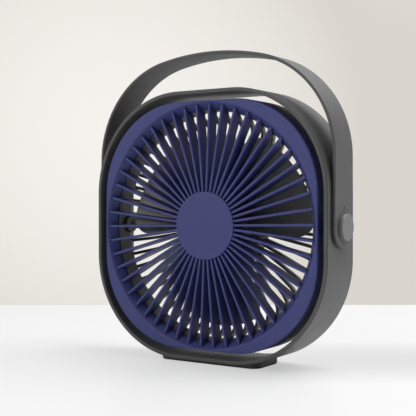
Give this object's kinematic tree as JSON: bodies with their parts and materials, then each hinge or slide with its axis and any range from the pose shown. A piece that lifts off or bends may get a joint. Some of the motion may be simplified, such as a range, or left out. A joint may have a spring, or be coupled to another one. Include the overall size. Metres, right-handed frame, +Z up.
{
  "type": "desk fan",
  "caption": "Desk fan: a round-cornered ring stand, a head with straight radial ribs that tilts inside it, a swinging carry handle and a push button on the motor pod.",
  "frame": {"origin": "middle of the foot's underside, on the table under the ring's centre", "axes": "+Z up, the blowing front faces -Y, X along the pivots with +X on the right seen from the front"},
  "size_m": [0.212, 0.0426, 0.2312],
  "materials": {
    "stand_charcoal": "satin",
    "handle_charcoal": "satin",
    "plinth_charcoal": "matte",
    "foot_rubber": "matte",
    "cap_grey": "satin",
    "spacer_dark": "matte",
    "washer_rubber": "matte",
    "bush_acetal": "satin",
    "grille_blue": "satin",
    "housing_dark": "satin",
    "cover_dark": "satin",
    "blade_dark": "semi-gloss",
    "button_grey": "satin",
    "plunger_white": "gloss",
    "pipe_clear": "clear, gloss",
    "screw_steel": "zinc plated",
    "screw_black": "black oxide",
    "shaft_steel": "ground",
    "bearing_steel": "polished",
    "bell_steel": "turned",
    "magnet_grey": "sintered",
    "stator_iron": "laminated",
    "coil_copper": "enamelled wire",
    "motor_zinc": "cast",
    "board_green": "solder mask",
    "chip_black": "matte",
    "led_white": "gloss",
    "inlet_steel": "plated",
    "cell_foil": "foil",
    "tape_foam": "foam",
    "lead_yellow": "gloss",
    "lead_red": "gloss"
  },
  "bodies": {
    "stand": {"stand_ring": "stand_charcoal", "foot_plinth": "plinth_charcoal", "foot_pad": "foot_rubber", "foot_screws": "screw_steel", "ring_bush_right": "bush_acetal", "ring_bush_left": "bush_acetal"},
    "handle": {"handle": "handle_charcoal", "handle_bush_right": "bush_acetal", "handle_bush_left": "bush_acetal"},
    "head": {"front_grille": "grille_blue", "rear_housing": "housing_dark", "housing_screws": "screw_black", "pivot_cap_right": "cap_grey", "pivot_cap_left": "cap_grey", "pivot_screw_right": "screw_black", "pivot_screw_left": "screw_black", "pivot_spacer_right": "spacer_dark", "pivot_spacer_left": "spacer_dark", "friction_washer_right": "washer_rubber", "friction_washer_left": "washer_rubber", "motor_base": "motor_zinc", "stator_core": "stator_iron", "stator_coils": "coil_copper", "front_bearing": "bearing_steel", "rear_bearing": "bearing_steel", "motor_screws": "screw_steel", "motor_leads": "lead_yellow", "control_board": "board_green", "control_chips": "chip_black", "indicator_leds": "led_white", "button_switch": "chip_black", "board_screws": "screw_steel", "usb_inlet": "inlet_steel", "battery_cell": "cell_foil", "cell_tape": "tape_foam", "battery_leads": "lead_red", "rear_cover": "cover_dark", "cover_screws": "screw_black", "light_pipes": "pipe_clear"},
    "impeller": {"impeller": "blade_dark", "rotor_bell": "bell_steel", "rotor_magnets": "magnet_grey", "motor_shaft": "shaft_steel", "shaft_clip": "screw_steel"},
    "button": {"power_button": "button_grey", "switch_plunger": "plunger_white"}
  },
  "joints": [
    {"name": "handle_swing", "type": "hinge", "parent": "stand", "child": "handle", "pos_m": [0, 0, 0.1022], "axis": [1, 0, 0], "range_deg": [-135, 135]},
    {"name": "head_tilt", "type": "hinge", "parent": "stand", "child": "head", "pos_m": [0, 0, 0.1022], "axis": [1, 0, 0], "continuous": true},
    {"name": "impeller_spin", "type": "hinge", "parent": "head", "child": "impeller", "pos_m": [0, 0, 0.1022], "axis": [0, 1, 0], "continuous": true},
    {"name": "button_press", "type": "slide", "parent": "head", "child": "button", "axis": [0, -1, 0], "range_m": [0, 0.0005], "stiffness_N_per_m": 3000}
  ]
}
